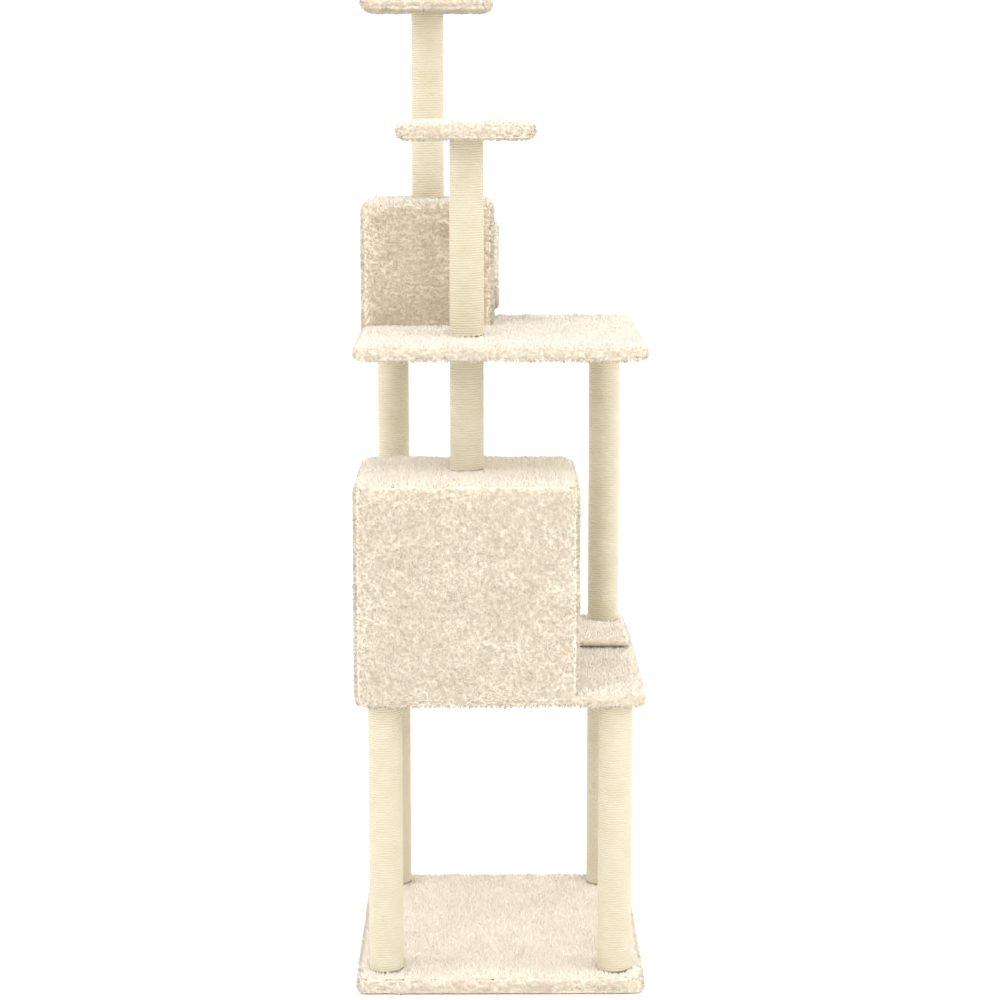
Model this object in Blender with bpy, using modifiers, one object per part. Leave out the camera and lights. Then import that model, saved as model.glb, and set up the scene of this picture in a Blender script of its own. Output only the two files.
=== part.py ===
"""A tall free-standing cat tree: plush-covered boards, sisal-wrapped posts and two plush houses.

Metres, +Z up. The origin is on the floor under the centre of the base. -Y is the front, +X the
right-hand side, where the doorways of both houses are.
"""

import math

import bmesh
import bpy
from mathutils import Matrix

# Driving dimensions -----------------------------------------------------------------------
GAP = 0.0003  # left between pieces that touch

TREE_WIDTH = 0.600  # base and both platforms, over the plush
TREE_DEPTH = 0.700

PILE = 0.011  # plush backing and pile together
BOARD = 0.018
BASE_BOARD = 0.029  # thicker, and bare underneath
SKIRT_CLEARANCE = 0.001  # the base cover ends this far above the floor
PLUSH_ROUNDING = 0.012

STEP_BOARD = 0.009
STEP_PILE = 0.0038
STEP_DEPTH = 0.276
STEP_SIDE_INSET = 0.014
STEP_REAR_INSET = 0.014

POST_DIAMETER = 0.071  # over the sisal
SISAL = 0.0055
TUBE_WALL = 0.008
PLUG_LENGTH = 0.030
CORNER_POST_INSET = 0.062  # post axis to the edge of the base
LOWER_POST_LENGTH = 0.562
UPPER_POST_LENGTH = 0.654
PERCH_POST_LENGTH = 0.401
TOP_POST_LENGTH = 0.400

HOUSE_PANEL = 0.012
LOWER_HOUSE_WIDTH = 0.462
LOWER_HOUSE_DEPTH = 0.400
LOWER_HOUSE_HEIGHT = 0.431
LOWER_DOOR_RADIUS = 0.105
LOWER_DOOR_HEIGHT = 0.205  # doorway centre over the platform

UPPER_HOUSE_WIDTH = 0.288
UPPER_HOUSE_DEPTH = 0.290
UPPER_HOUSE_HEIGHT = 0.267
UPPER_DOOR_RADIUS = 0.076
UPPER_DOOR_HEIGHT = 0.118

RIM_LINING = 0.0037  # rim inside the panel's hole
RIM_ROLL = 0.018  # width of the padded roll outside the panel
RIM_STANDOFF = 0.009  # how far the roll stands out from the cover

PERCH_SIZE = 0.286

BOLT_DIAMETER = 0.008
BOLT_GRIP = 0.022  # length inside a post's end plug
BOLT_FLANGE = 0.024
BOLT_HEAD = 0.0055
BOLT_SOCKET = 0.0055
BOLT_SOCKET_DEPTH = 0.0035

POST_SIDES = 20
BOLT_SIDES = 12
DOOR_SIDES = 24

# Heights of the plates' undersides, worked out from the ground up ---------------------------
BASE_TOP = BASE_BOARD + PILE
PLATFORM = BOARD + 2 * PILE
STEP = STEP_BOARD + 2 * STEP_PILE
LOWER_PLATFORM_Z = BASE_TOP + LOWER_POST_LENGTH
LOWER_PLATFORM_TOP = LOWER_PLATFORM_Z + PLATFORM
STEP_TOP = LOWER_PLATFORM_TOP + STEP
MID_PLATFORM_Z = STEP_TOP + UPPER_POST_LENGTH
MID_PLATFORM_TOP = MID_PLATFORM_Z + PLATFORM
LOWER_ROOF_TOP = LOWER_PLATFORM_TOP + LOWER_HOUSE_HEIGHT
UPPER_ROOF_TOP = MID_PLATFORM_TOP + UPPER_HOUSE_HEIGHT
PERCH_Z = MID_PLATFORM_TOP + PERCH_POST_LENGTH
TOP_PERCH_Z = UPPER_ROOF_TOP + TOP_POST_LENGTH

# Plan positions ----------------------------------------------------------------------------
LEFT = -TREE_WIDTH / 2
FRONT = -TREE_DEPTH / 2
REAR = TREE_DEPTH / 2
POST_X = TREE_WIDTH / 2 - CORNER_POST_INSET
POST_Y = TREE_DEPTH / 2 - CORNER_POST_INSET
PERCH_CENTRE = (LEFT + LOWER_HOUSE_WIDTH / 2, FRONT + LOWER_HOUSE_DEPTH / 2)
TOP_CENTRE = (LEFT + UPPER_HOUSE_WIDTH / 2, REAR - UPPER_HOUSE_DEPTH / 2)
CORNERS = {
    "front_left": (-POST_X, -POST_Y),
    "front_right": (POST_X, -POST_Y),
    "rear_left": (-POST_X, POST_Y),
    "rear_right": (POST_X, POST_Y),
}

BOLT_RADIUS = BOLT_DIAMETER / 2
HOLE_RADIUS = BOLT_RADIUS + GAP
FLANGE_HOLE_RADIUS = BOLT_FLANGE / 2 + GAP
FLANGE_HOLE_DEPTH = BOLT_HEAD + GAP


def clear_scene():
    for item in list(bpy.data.objects):
        bpy.data.objects.remove(item, do_unlink=True)


def new_collection(name):
    group = bpy.data.collections.new(name)
    bpy.context.scene.collection.children.link(group)
    return group


def new_material(name, colour, roughness, metallic=0.0):
    material = bpy.data.materials.new(name)
    material.use_nodes = True
    shader = material.node_tree.nodes["Principled BSDF"]
    shader.inputs["Base Color"].default_value = (*colour, 1.0)
    shader.inputs["Roughness"].default_value = roughness
    shader.inputs["Metallic"].default_value = metallic
    return material


clear_scene()
PARTS = new_collection("cat_tree")
CUTTERS = new_collection("cat_tree_cutters")
PLUSH = new_material("cream_plush", (0.80, 0.74, 0.63), 0.95)
RIM = new_material("cream_plush_rim", (0.83, 0.78, 0.68), 0.95)
SISAL_ROPE = new_material("natural_sisal", (0.72, 0.62, 0.46), 0.85)
WOOD = new_material("particle_board", (0.62, 0.47, 0.30), 0.70)
CARDBOARD = new_material("cardboard", (0.50, 0.38, 0.25), 0.90)
STEEL = new_material("zinc_plated_steel", (0.66, 0.67, 0.68), 0.35, 1.0)


def add_part(name, mesh, material):
    part = bpy.data.objects.new(name, mesh)
    mesh.materials.append(material)
    PARTS.objects.link(part)
    return part


def add_cutter(name, mesh):
    cutter = bpy.data.objects.new(name, mesh)
    cutter.hide_render = True
    cutter.display_type = "WIRE"
    CUTTERS.objects.link(cutter)
    return cutter


def box_mesh(name, low, high):
    size = [b - a for a, b in zip(low, high)]
    centre = [(a + b) / 2 for a, b in zip(low, high)]
    shape = bmesh.new()
    place = Matrix.Translation(centre) @ Matrix.Diagonal((*size, 1.0))
    bmesh.ops.create_cube(shape, size=1.0, matrix=place)
    mesh = bpy.data.meshes.new(name)
    shape.to_mesh(mesh)
    shape.free()
    return mesh


def cylinder_mesh(name, radius, length, sides, place):
    shape = bmesh.new()
    bmesh.ops.create_cone(
        shape, cap_ends=True, segments=sides, radius1=radius, radius2=radius, depth=length, matrix=place
    )
    mesh = bpy.data.meshes.new(name)
    shape.to_mesh(mesh)
    shape.free()
    return mesh


def upright_cutter(name, x, y, bottom, top, radius):
    place = Matrix.Translation((x, y, (bottom + top) / 2))
    return add_cutter(name, cylinder_mesh(name, radius, top - bottom, BOLT_SIDES, place))


def sideways_cutter(name, x0, x1, y, z, radius):
    place = Matrix.Translation(((x0 + x1) / 2, y, z)) @ Matrix.Rotation(math.pi / 2, 4, "Y")
    return add_cutter(name, cylinder_mesh(name, radius, x1 - x0, DOOR_SIDES, place))


def round_edges(part, width, segments=2):
    bevel = part.modifiers.new("Rounded edges", "BEVEL")
    bevel.width = width
    bevel.segments = segments
    return bevel


def round_all_but_underside(part, width, underside):
    """Leaves the edges at the height underside square, so that a skirt ends in a flat rim."""
    mesh = part.data
    weights = mesh.attributes.new("bevel_weight_edge", "FLOAT", "EDGE")
    for edge in mesh.edges:
        low = all(mesh.vertices[i].co.z < underside + GAP for i in edge.vertices)
        weights.data[edge.index].value = 0.0 if low else 1.0
    bevel = round_edges(part, width)
    bevel.limit_method = "WEIGHT"


def cut(part, cutter):
    boolean = part.modifiers.new(cutter.name, "BOOLEAN")
    boolean.operation = "DIFFERENCE"
    boolean.solver = "EXACT"
    boolean.object = cutter


def turned_part(name, outline, sides, closed, material):
    """Turns an outline of (radius, height) points, running down its outer side, about Z."""
    count = len(outline)
    edges = [(i, (i + 1) % count) for i in range(count if closed else count - 1)]
    mesh = bpy.data.meshes.new(name)
    mesh.from_pydata([(radius, 0.0, height) for radius, height in outline], edges, [])
    part = add_part(name, mesh, material)
    screw = part.modifiers.new("Turn", "SCREW")
    screw.axis = "Z"
    screw.angle = math.tau
    screw.steps = sides
    screw.render_steps = sides
    screw.use_merge_vertices = True
    screw.merge_threshold = 0.00001
    screw.use_smooth_shade = False
    return part


def grown(low, high, amount):
    return [a - amount for a in low], [b + amount for b in high]


# Plush-covered boards ----------------------------------------------------------------------
def covered_board(name, low, high, pile, rounding, bare_underside=False):
    """A board inside a plush cover. low and high are the corners over the plush."""
    board_low = [a + pile for a in low]
    board_high = [b - pile for b in high]
    if bare_underside:
        board_low[2] = low[2]
    board = add_part(f"{name}_board", box_mesh(f"{name}_board", board_low, board_high), WOOD)

    inside_low, inside_high = grown(board_low, board_high, GAP)
    cover_low = list(low)
    if bare_underside:
        cover_low[2] += SKIRT_CLEARANCE
        inside_low[2] = low[2] - rounding
    cover = add_part(f"{name}_cover", box_mesh(f"{name}_cover", cover_low, high), PLUSH)
    if bare_underside:
        round_all_but_underside(cover, rounding, cover_low[2])
    else:
        round_edges(cover, rounding)
    hollow_name = f"cut_{name}_cover"
    cut(cover, add_cutter(hollow_name, box_mesh(hollow_name, inside_low, inside_high)))
    return board, cover


def plate_corners(centre, size, bottom, thickness):
    low = [centre[0] - size[0] / 2, centre[1] - size[1] / 2, bottom]
    high = [centre[0] + size[0] / 2, centre[1] + size[1] / 2, bottom + thickness]
    return low, high


def bolt_holes(name, spots, bottom, top, pieces):
    """Cuts one clearance hole through all the pieces at each spot."""
    for spot, (x, y) in spots.items():
        hole = upright_cutter(f"cut_{name}_{spot}", x, y, bottom - GAP, top + GAP, HOLE_RADIUS)
        for piece in pieces:
            cut(piece, hole)


def flange_recess(name, board, x, y, bottom, top):
    recess = upright_cutter(f"cut_{name}", x, y, bottom, top, FLANGE_HOLE_RADIUS)
    cut(board, recess)


# Posts and bolts ---------------------------------------------------------------------------
def post(name, spot, bottom, top):
    """A cardboard tube with a drilled plug in each end, in a sleeve of wound sisal."""
    x, y = spot
    low = bottom + GAP
    high = top - GAP
    outer = POST_DIAMETER / 2 - SISAL
    bore = outer - TUBE_WALL
    outline = [
        (outer, high),
        (outer, low),
        (HOLE_RADIUS, low),
        (HOLE_RADIUS, low + PLUG_LENGTH),
        (bore, low + PLUG_LENGTH),
        (bore, high - PLUG_LENGTH),
        (HOLE_RADIUS, high - PLUG_LENGTH),
        (HOLE_RADIUS, high),
    ]
    core = turned_part(f"{name}_core", outline, POST_SIDES, True, CARDBOARD)
    core.location = (x, y, 0.0)
    wrap = [
        (POST_DIAMETER / 2, high),
        (POST_DIAMETER / 2, low),
        (outer + GAP, low),
        (outer + GAP, high),
    ]
    sleeve = turned_part(f"{name}_sisal", wrap, POST_SIDES, True, SISAL_ROPE)
    sleeve.location = (x, y, 0.0)


def bolt(name, spot, seat, tip):
    """A flanged bolt. Its flange rests at seat and its shank runs to tip, up or down."""
    x, y = spot
    length = abs(tip - seat)
    outline = [
        (0.0, length),
        (BOLT_RADIUS * 0.7, length),
        (BOLT_RADIUS, length - BOLT_RADIUS * 0.5),
        (BOLT_RADIUS, 0.0),
        (BOLT_FLANGE / 2, 0.0),
        (BOLT_FLANGE / 2, -BOLT_HEAD * 0.5),
        (BOLT_FLANGE * 0.38, -BOLT_HEAD),
        (BOLT_SOCKET / 2, -BOLT_HEAD),
        (BOLT_SOCKET / 2, BOLT_SOCKET_DEPTH - BOLT_HEAD),
        (0.0, BOLT_SOCKET_DEPTH - BOLT_HEAD),
    ]
    part = turned_part(name, outline, BOLT_SIDES, False, STEEL)
    part.location = (x, y, seat)
    if tip < seat:
        part.rotation_euler = (math.pi, 0.0, 0.0)


def stud(name, spot, bottom, top):
    """A threaded rod that joins the post under a platform to the post on top of it."""
    x, y = spot
    low = bottom - BOLT_GRIP
    high = top + BOLT_GRIP
    place = Matrix.Translation((x, y, (low + high) / 2))
    mesh = cylinder_mesh(name, BOLT_RADIUS, high - low, BOLT_SIDES, place)
    part = add_part(name, mesh, STEEL)
    bevel = round_edges(part, BOLT_RADIUS * 0.3, 1)
    bevel.limit_method = "ANGLE"
    bevel.angle_limit = math.radians(60)


# Houses ------------------------------------------------------------------------------------
def house(name, low, high, door_radius, door_height, post_spot):
    """Five panels in a plush cover, open below, with a padded round doorway on the right."""
    in_low = [low[0] + PILE, low[1] + PILE, low[2] + GAP]
    in_high = [high[0] - PILE, high[1] - PILE, high[2] - PILE]
    door_y = (low[1] + high[1]) / 2
    door_z = low[2] + door_height

    roof_low = [in_low[0], in_low[1], in_high[2] - HOUSE_PANEL]
    wall_top = roof_low[2] - GAP
    front_inner = in_low[1] + HOUSE_PANEL
    rear_inner = in_high[1] - HOUSE_PANEL
    left_inner = in_low[0] + HOUSE_PANEL
    right_inner = in_high[0] - HOUSE_PANEL
    panels = {
        "roof": (roof_low, in_high),
        "front": (in_low, [in_high[0], front_inner, wall_top]),
        "back": ([in_low[0], rear_inner, in_low[2]], [in_high[0], in_high[1], wall_top]),
        "left": (
            [in_low[0], front_inner + GAP, in_low[2]],
            [left_inner, rear_inner - GAP, wall_top],
        ),
        "right": (
            [right_inner, front_inner + GAP, in_low[2]],
            [in_high[0], rear_inner - GAP, wall_top],
        ),
    }
    made = {}
    for side, (panel_low, panel_high) in panels.items():
        panel_name = f"{name}_{side}_panel"
        made[side] = add_part(panel_name, box_mesh(panel_name, panel_low, panel_high), WOOD)

    cover_low = [low[0], low[1], low[2] + GAP]
    cover = add_part(f"{name}_cover", box_mesh(f"{name}_cover", cover_low, high), PLUSH)
    round_all_but_underside(cover, PLUSH_ROUNDING, cover_low[2])
    hollow_low, hollow_high = grown(in_low, in_high, GAP)
    hollow_low[2] = low[2] - PLUSH_ROUNDING
    hollow_name = f"cut_{name}_hollow"
    cut(cover, add_cutter(hollow_name, box_mesh(hollow_name, hollow_low, hollow_high)))

    panel_hole = door_radius + RIM_LINING + GAP
    cover_hole = door_radius + RIM_ROLL + GAP
    door = sideways_cutter(
        f"cut_{name}_door", right_inner - PILE, in_high[0] + GAP / 2, door_y, door_z, panel_hole
    )
    cut(made["right"], door)
    mouth = sideways_cutter(
        f"cut_{name}_mouth", in_high[0] - GAP, high[0] + PILE, door_y, door_z, cover_hole
    )
    cut(cover, mouth)
    bolt_holes(name, {"post": post_spot}, wall_top, high[2], [made["roof"], cover])
    doorway_rim(name, right_inner, in_high[0], high[0], door_y, door_z, door_radius)


def doorway_rim(name, panel_inner, panel_outer, cover_outer, y, z, radius):
    """A padded ring: a thin lining through the panel and a fat roll around the mouth."""
    panel = panel_outer - panel_inner
    roll_top = cover_outer - panel_inner + RIM_STANDOFF
    roll_base = roll_top - RIM_ROLL / 2
    arc_points = 5
    outline = [
        (radius + RIM_ROLL, roll_base),
        (radius + RIM_ROLL, panel + GAP),
        (radius + RIM_LINING, panel + GAP),
        (radius + RIM_LINING, 0.0),
        (radius, 0.0),
        (radius, roll_base),
    ]
    for i in range(1, arc_points):
        angle = math.pi * (1 - i / arc_points)
        across = radius + RIM_ROLL / 2 * (1 + math.cos(angle))
        outline.append((across, roll_base + RIM_ROLL / 2 * math.sin(angle)))
    rim = turned_part(f"{name}_doorway_rim", outline, DOOR_SIDES, True, RIM)
    rim.location = (panel_inner, y, z)
    rim.rotation_euler = (0.0, math.pi / 2, 0.0)


# Assembly ----------------------------------------------------------------------------------
def make_base():
    low, high = plate_corners((0.0, 0.0), (TREE_WIDTH, TREE_DEPTH), 0.0, BASE_TOP)
    board, cover = covered_board("base", low, high, PILE, PLUSH_ROUNDING, bare_underside=True)
    bolt_holes("base", CORNERS, 0.0, BASE_TOP, [board, cover])
    for corner, (x, y) in CORNERS.items():
        flange_recess(f"base_flange_{corner}", board, x, y, -GAP, FLANGE_HOLE_DEPTH)
        bolt(f"base_bolt_{corner}", (x, y), BOLT_HEAD + GAP / 2, BASE_TOP + BOLT_GRIP)
        post(f"lower_post_{corner}", (x, y), BASE_TOP, LOWER_PLATFORM_Z)


def make_lower_platform():
    size = (TREE_WIDTH, TREE_DEPTH)
    low, high = plate_corners((0.0, 0.0), size, LOWER_PLATFORM_Z, PLATFORM)
    board, cover = covered_board("lower_platform", low, high, PILE, PLUSH_ROUNDING)
    board_top = high[2] - PILE
    for corner in ("front_left", "front_right"):
        x, y = CORNERS[corner]
        bolt_holes("lower_platform", {corner: (x, y)}, low[2], board_top - 2 * GAP, [board, cover])
        recess_low = board_top - FLANGE_HOLE_DEPTH
        flange_recess(f"lower_flange_{corner}", board, x, y, recess_low, board_top + GAP)
        seat = board_top - BOLT_HEAD - GAP / 2
        bolt(f"lower_platform_bolt_{corner}", (x, y), seat, low[2] - BOLT_GRIP)

    step_size = (TREE_WIDTH - 2 * STEP_SIDE_INSET, STEP_DEPTH)
    step_centre = (0.0, REAR - STEP_REAR_INSET - STEP_DEPTH / 2)
    step_low, step_high = plate_corners(step_centre, step_size, LOWER_PLATFORM_TOP + GAP, STEP - GAP)
    step, step_cover = covered_board("step", step_low, step_high, STEP_PILE, STEP_PILE * 1.3)
    rear = {corner: CORNERS[corner] for corner in ("rear_left", "rear_right")}
    bolt_holes("step", rear, low[2], STEP_TOP, [board, cover, step, step_cover])
    for corner, spot in rear.items():
        stud(f"stud_{corner}", spot, LOWER_PLATFORM_Z, STEP_TOP)
        post(f"upper_post_{corner}", spot, STEP_TOP, MID_PLATFORM_Z)


def make_mid_platform():
    size = (TREE_WIDTH, TREE_DEPTH)
    low, high = plate_corners((0.0, 0.0), size, MID_PLATFORM_Z, PLATFORM)
    board, cover = covered_board("mid_platform", low, high, PILE, PLUSH_ROUNDING)
    board_top = high[2] - PILE
    for corner in ("rear_left", "rear_right"):
        x, y = CORNERS[corner]
        bolt_holes("mid_platform", {corner: (x, y)}, low[2], board_top - 2 * GAP, [board, cover])
        recess_low = board_top - FLANGE_HOLE_DEPTH
        flange_recess(f"mid_flange_{corner}", board, x, y, recess_low, board_top + GAP)
        seat = board_top - BOLT_HEAD - GAP / 2
        bolt(f"mid_platform_bolt_{corner}", (x, y), seat, low[2] - BOLT_GRIP)
    bolt_holes("mid_platform", {"centre": PERCH_CENTRE}, low[2], high[2], [board, cover])
    stud("stud_centre", PERCH_CENTRE, MID_PLATFORM_Z, MID_PLATFORM_TOP)
    post("centre_post", PERCH_CENTRE, LOWER_ROOF_TOP, MID_PLATFORM_Z)
    post("perch_post", PERCH_CENTRE, MID_PLATFORM_TOP, PERCH_Z)


def make_perch(name, centre, bottom):
    """A square board on one post, held by a bolt whose flange lies under the plush."""
    low, high = plate_corners(centre, (PERCH_SIZE, PERCH_SIZE), bottom, PLATFORM)
    board, cover = covered_board(name, low, high, PILE, PLUSH_ROUNDING)
    board_top = high[2] - PILE
    bolt_holes(name, {"post": centre}, low[2], board_top - 2 * GAP, [board, cover])
    recess_low = board_top - FLANGE_HOLE_DEPTH
    flange_recess(f"{name}_flange", board, centre[0], centre[1], recess_low, board_top + GAP)
    bolt(f"{name}_bolt", centre, board_top - BOLT_HEAD - GAP / 2, low[2] - BOLT_GRIP)


def make_house(name, left, front, bottom, size, door_radius, door_height, post_spot):
    low = [left, front, bottom]
    high = [left + size[0], front + size[1], bottom + size[2]]
    house(name, low, high, door_radius, door_height, post_spot)
    seat = high[2] - PILE - HOUSE_PANEL - GAP
    bolt(f"{name}_roof_bolt", post_spot, seat, high[2] + BOLT_GRIP)


def make_houses():
    lower_size = (LOWER_HOUSE_WIDTH, LOWER_HOUSE_DEPTH, LOWER_HOUSE_HEIGHT)
    make_house(
        "lower_house",
        LEFT,
        FRONT,
        LOWER_PLATFORM_TOP,
        lower_size,
        LOWER_DOOR_RADIUS,
        LOWER_DOOR_HEIGHT,
        PERCH_CENTRE,
    )
    upper_size = (UPPER_HOUSE_WIDTH, UPPER_HOUSE_DEPTH, UPPER_HOUSE_HEIGHT)
    make_house(
        "upper_house",
        LEFT,
        REAR - UPPER_HOUSE_DEPTH,
        MID_PLATFORM_TOP,
        upper_size,
        UPPER_DOOR_RADIUS,
        UPPER_DOOR_HEIGHT,
        TOP_CENTRE,
    )
    post("top_post", TOP_CENTRE, UPPER_ROOF_TOP, TOP_PERCH_Z)


def shade_round_parts():
    for part in PARTS.objects:
        if "Turn" in part.modifiers:
            part.modifiers["Turn"].use_smooth_shade = True


make_base()
make_lower_platform()
make_mid_platform()
make_houses()
make_perch("perch", PERCH_CENTRE, PERCH_Z)
make_perch("top_perch", TOP_CENTRE, TOP_PERCH_Z)
shade_round_parts()
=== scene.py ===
# %% [markdown]
# # A plush cat tree with sisal posts
# The engineered frame comes in first: boards, tubes, panels and bolts at their real places.
# This script then dresses it, as an upholsterer would, in deep plush and wound rope. Every
# size below is read from the frame, so the covers and the rope always fit what they cover.

# %% Load the frame
import math

import bpy
import numpy as np
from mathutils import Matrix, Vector


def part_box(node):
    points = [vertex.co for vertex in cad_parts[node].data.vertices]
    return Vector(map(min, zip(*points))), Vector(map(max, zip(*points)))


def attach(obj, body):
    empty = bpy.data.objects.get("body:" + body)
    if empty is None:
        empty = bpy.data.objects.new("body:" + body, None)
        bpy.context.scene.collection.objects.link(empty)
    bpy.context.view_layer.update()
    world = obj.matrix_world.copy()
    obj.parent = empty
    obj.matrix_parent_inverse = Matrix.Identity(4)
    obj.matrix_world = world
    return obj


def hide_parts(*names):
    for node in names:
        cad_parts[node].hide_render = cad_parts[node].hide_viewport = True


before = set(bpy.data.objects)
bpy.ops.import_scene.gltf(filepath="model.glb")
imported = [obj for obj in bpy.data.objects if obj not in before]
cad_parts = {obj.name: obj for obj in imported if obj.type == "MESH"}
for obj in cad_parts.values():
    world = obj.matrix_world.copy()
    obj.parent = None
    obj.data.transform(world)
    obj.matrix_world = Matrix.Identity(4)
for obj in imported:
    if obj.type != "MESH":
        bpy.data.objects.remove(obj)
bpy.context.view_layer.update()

BODY = "root"

# %% [markdown]
# ## Small helpers
# A primitive is added at its size and place, then shaped. An operator acts on everything
# that is selected, so each helper clears the selection before it starts. Applying the
# transform leaves the object at the world's origin with its place in its mesh.


# %% Helpers for selecting
SAME_PLACE = 0.00001  # corners nearer to each other than this are one corner


def clear_selection():
    bpy.ops.object.select_all(action="DESELECT")


def select_only(piece):
    clear_selection()
    piece.select_set(True)
    bpy.context.view_layer.objects.active = piece


def edit_whole(piece, *operators):
    """Enters edit mode and runs each operator on the piece's whole mesh."""
    select_only(piece)
    bpy.ops.object.mode_set(mode="EDIT")
    for operator, settings in operators:
        bpy.ops.mesh.select_all(action="SELECT")
        operator(**settings)
    bpy.ops.object.mode_set(mode="OBJECT")


def settle(piece, name):
    """Names the piece and moves its place, turn and size into its mesh."""
    piece.name = name
    piece.data.name = name
    select_only(piece)
    bpy.ops.object.transform_apply(location=True, rotation=True, scale=True)
    return piece


# %% Helpers for shaping
ROD_SIDES = 48
EDGE_SEGMENTS = 4


def corners_of(node):
    """Lowest and highest corner of an engineered node."""
    low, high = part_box(node)
    return Vector(low), Vector(high)


def evenly(size):
    """The same step along all three axes."""
    return Vector((size, size, size))


def add_block(name, low, high):
    low, high = Vector(low), Vector(high)
    clear_selection()
    bpy.ops.mesh.primitive_cube_add(size=1.0, location=(low + high) / 2, scale=high - low)
    return settle(bpy.context.object, name)


def add_rod(name, centre, radius, length, turn=(0.0, 0.0, 0.0)):
    clear_selection()
    bpy.ops.mesh.primitive_cylinder_add(
        vertices=ROD_SIDES, radius=radius, depth=length, location=centre, rotation=turn
    )
    return settle(bpy.context.object, name)


def apply_modifier(piece, kind, **settings):
    modifier = piece.modifiers.new(kind.title(), kind)
    for key, value in settings.items():
        setattr(modifier, key, value)
    select_only(piece)
    bpy.ops.object.modifier_apply(modifier=modifier.name)


def subtract(piece, tool):
    apply_modifier(piece, "BOOLEAN", operation="DIFFERENCE", solver="EXACT", object=tool)
    bpy.data.objects.remove(tool, do_unlink=True)


def round_every_edge(piece, radius):
    rounding = {"offset": radius, "segments": EDGE_SEGMENTS, "profile": 0.5, "affect": "EDGES"}
    edit_whole(piece, (bpy.ops.mesh.bevel, rounding))


def triangles(piece):
    piece.data.calc_loop_triangles()
    return len(piece.data.loop_triangles)


# %% [markdown]
# ## Shader helpers
# Two effects turn up in more than one finish. Nap tone is the way a deep pile looks paler
# where the fibre tips catch the light and a little warmer in patches where it lies another
# way. Fibre bump is the fine felted roughness of cloth. Each is a node group with named
# sockets, placed in the materials with their own values.


# %% Helpers for shaders
def new_tree_node(tree, kind, **settings):
    node = tree.nodes.new(kind)
    for key, value in settings.items():
        setattr(node, key, value)
    return node


def new_group(name, inputs, outputs):
    group = bpy.data.node_groups.new(name, "ShaderNodeTree")
    for label, socket, value in inputs:
        made = group.interface.new_socket(label, in_out="INPUT", socket_type=socket)
        if value is not None:
            made.default_value = value
    for label, socket in outputs:
        group.interface.new_socket(label, in_out="OUTPUT", socket_type=socket)
    return group, group.nodes.new("NodeGroupInput"), group.nodes.new("NodeGroupOutput")


def place_group(tree, group, **values):
    node = new_tree_node(tree, "ShaderNodeGroup", node_tree=group)
    for label, value in values.items():
        node.inputs[label.replace("_", " ")].default_value = value
    return node


def new_finish(name, roughness, metallic=0.0, sheen=0.0):
    """A material with one Principled shader; returns it with its tree and shader."""
    material = bpy.data.materials.new(name)
    material.use_nodes = True
    shader = material.node_tree.nodes["Principled BSDF"]
    shader.inputs["Roughness"].default_value = roughness
    shader.inputs["Metallic"].default_value = metallic
    shader.inputs["Sheen Weight"].default_value = sheen
    shader.inputs["Sheen Roughness"].default_value = 0.5
    return material, material.node_tree, shader


MIX_INPUTS = (0, 6, 7)  # a Mix node's factor and its two colours, among its sockets
MIX_OUTPUT = 2


def mix_colours(tree, factor, first, second):
    """Mixes two colours, each a value or a socket, by a factor that is a value or a socket."""
    node = new_tree_node(tree, "ShaderNodeMix", data_type="RGBA")
    for number, given in zip(MIX_INPUTS, (factor, first, second)):
        if isinstance(given, bpy.types.NodeSocket):
            tree.links.new(given, node.inputs[number])
        else:
            node.inputs[number].default_value = given
    return node.outputs[MIX_OUTPUT]


# %% Nap tone group
def build_nap_tone():
    group, given, result = new_group(
        "Nap tone",
        [
            ("Vector", "NodeSocketVector", None),
            ("Pale", "NodeSocketColor", (0.9, 0.85, 0.75, 1.0)),
            ("Warm", "NodeSocketColor", (0.8, 0.7, 0.55, 1.0)),
            ("Patch Scale", "NodeSocketFloat", 14.0),
            ("Speck Scale", "NodeSocketFloat", 160.0),
        ],
        [("Color", "NodeSocketColor")],
    )
    patches = new_tree_node(group, "ShaderNodeTexNoise")
    patches.inputs["Detail"].default_value = 3.0
    specks = new_tree_node(group, "ShaderNodeTexNoise")
    specks.inputs["Detail"].default_value = 2.0
    blend = new_tree_node(group, "ShaderNodeMath", operation="MULTIPLY_ADD")
    blend.inputs[1].default_value = 0.55
    spread = new_tree_node(group, "ShaderNodeMapRange")
    spread.inputs["From Min"].default_value = 0.55
    spread.inputs["From Max"].default_value = 1.0
    for noise, scale in ((patches, "Patch Scale"), (specks, "Speck Scale")):
        group.links.new(given.outputs["Vector"], noise.inputs["Vector"])
        group.links.new(given.outputs[scale], noise.inputs["Scale"])
    group.links.new(specks.outputs["Fac"], blend.inputs[0])
    group.links.new(patches.outputs["Fac"], blend.inputs[2])
    group.links.new(blend.outputs[0], spread.inputs["Value"])
    tone = mix_colours(group, spread.outputs[0], given.outputs["Pale"], given.outputs["Warm"])
    group.links.new(tone, result.inputs["Color"])
    return group


# %% Fibre bump group
def build_fibre_bump():
    group, given, result = new_group(
        "Fibre bump",
        [
            ("Vector", "NodeSocketVector", None),
            ("Scale", "NodeSocketFloat", 400.0),
            ("Height", "NodeSocketFloat", 0.001),
        ],
        [("Normal", "NodeSocketVector")],
    )
    fibres = new_tree_node(group, "ShaderNodeTexNoise")
    fibres.inputs["Detail"].default_value = 4.0
    fibres.inputs["Distortion"].default_value = 1.5
    bump = new_tree_node(group, "ShaderNodeBump")
    bump.inputs["Strength"].default_value = 0.6
    group.links.new(given.outputs["Vector"], fibres.inputs["Vector"])
    group.links.new(given.outputs["Scale"], fibres.inputs["Scale"])
    group.links.new(given.outputs["Height"], bump.inputs["Distance"])
    group.links.new(fibres.outputs["Fac"], bump.inputs["Height"])
    group.links.new(bump.outputs["Normal"], result.inputs["Normal"])
    return group


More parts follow.
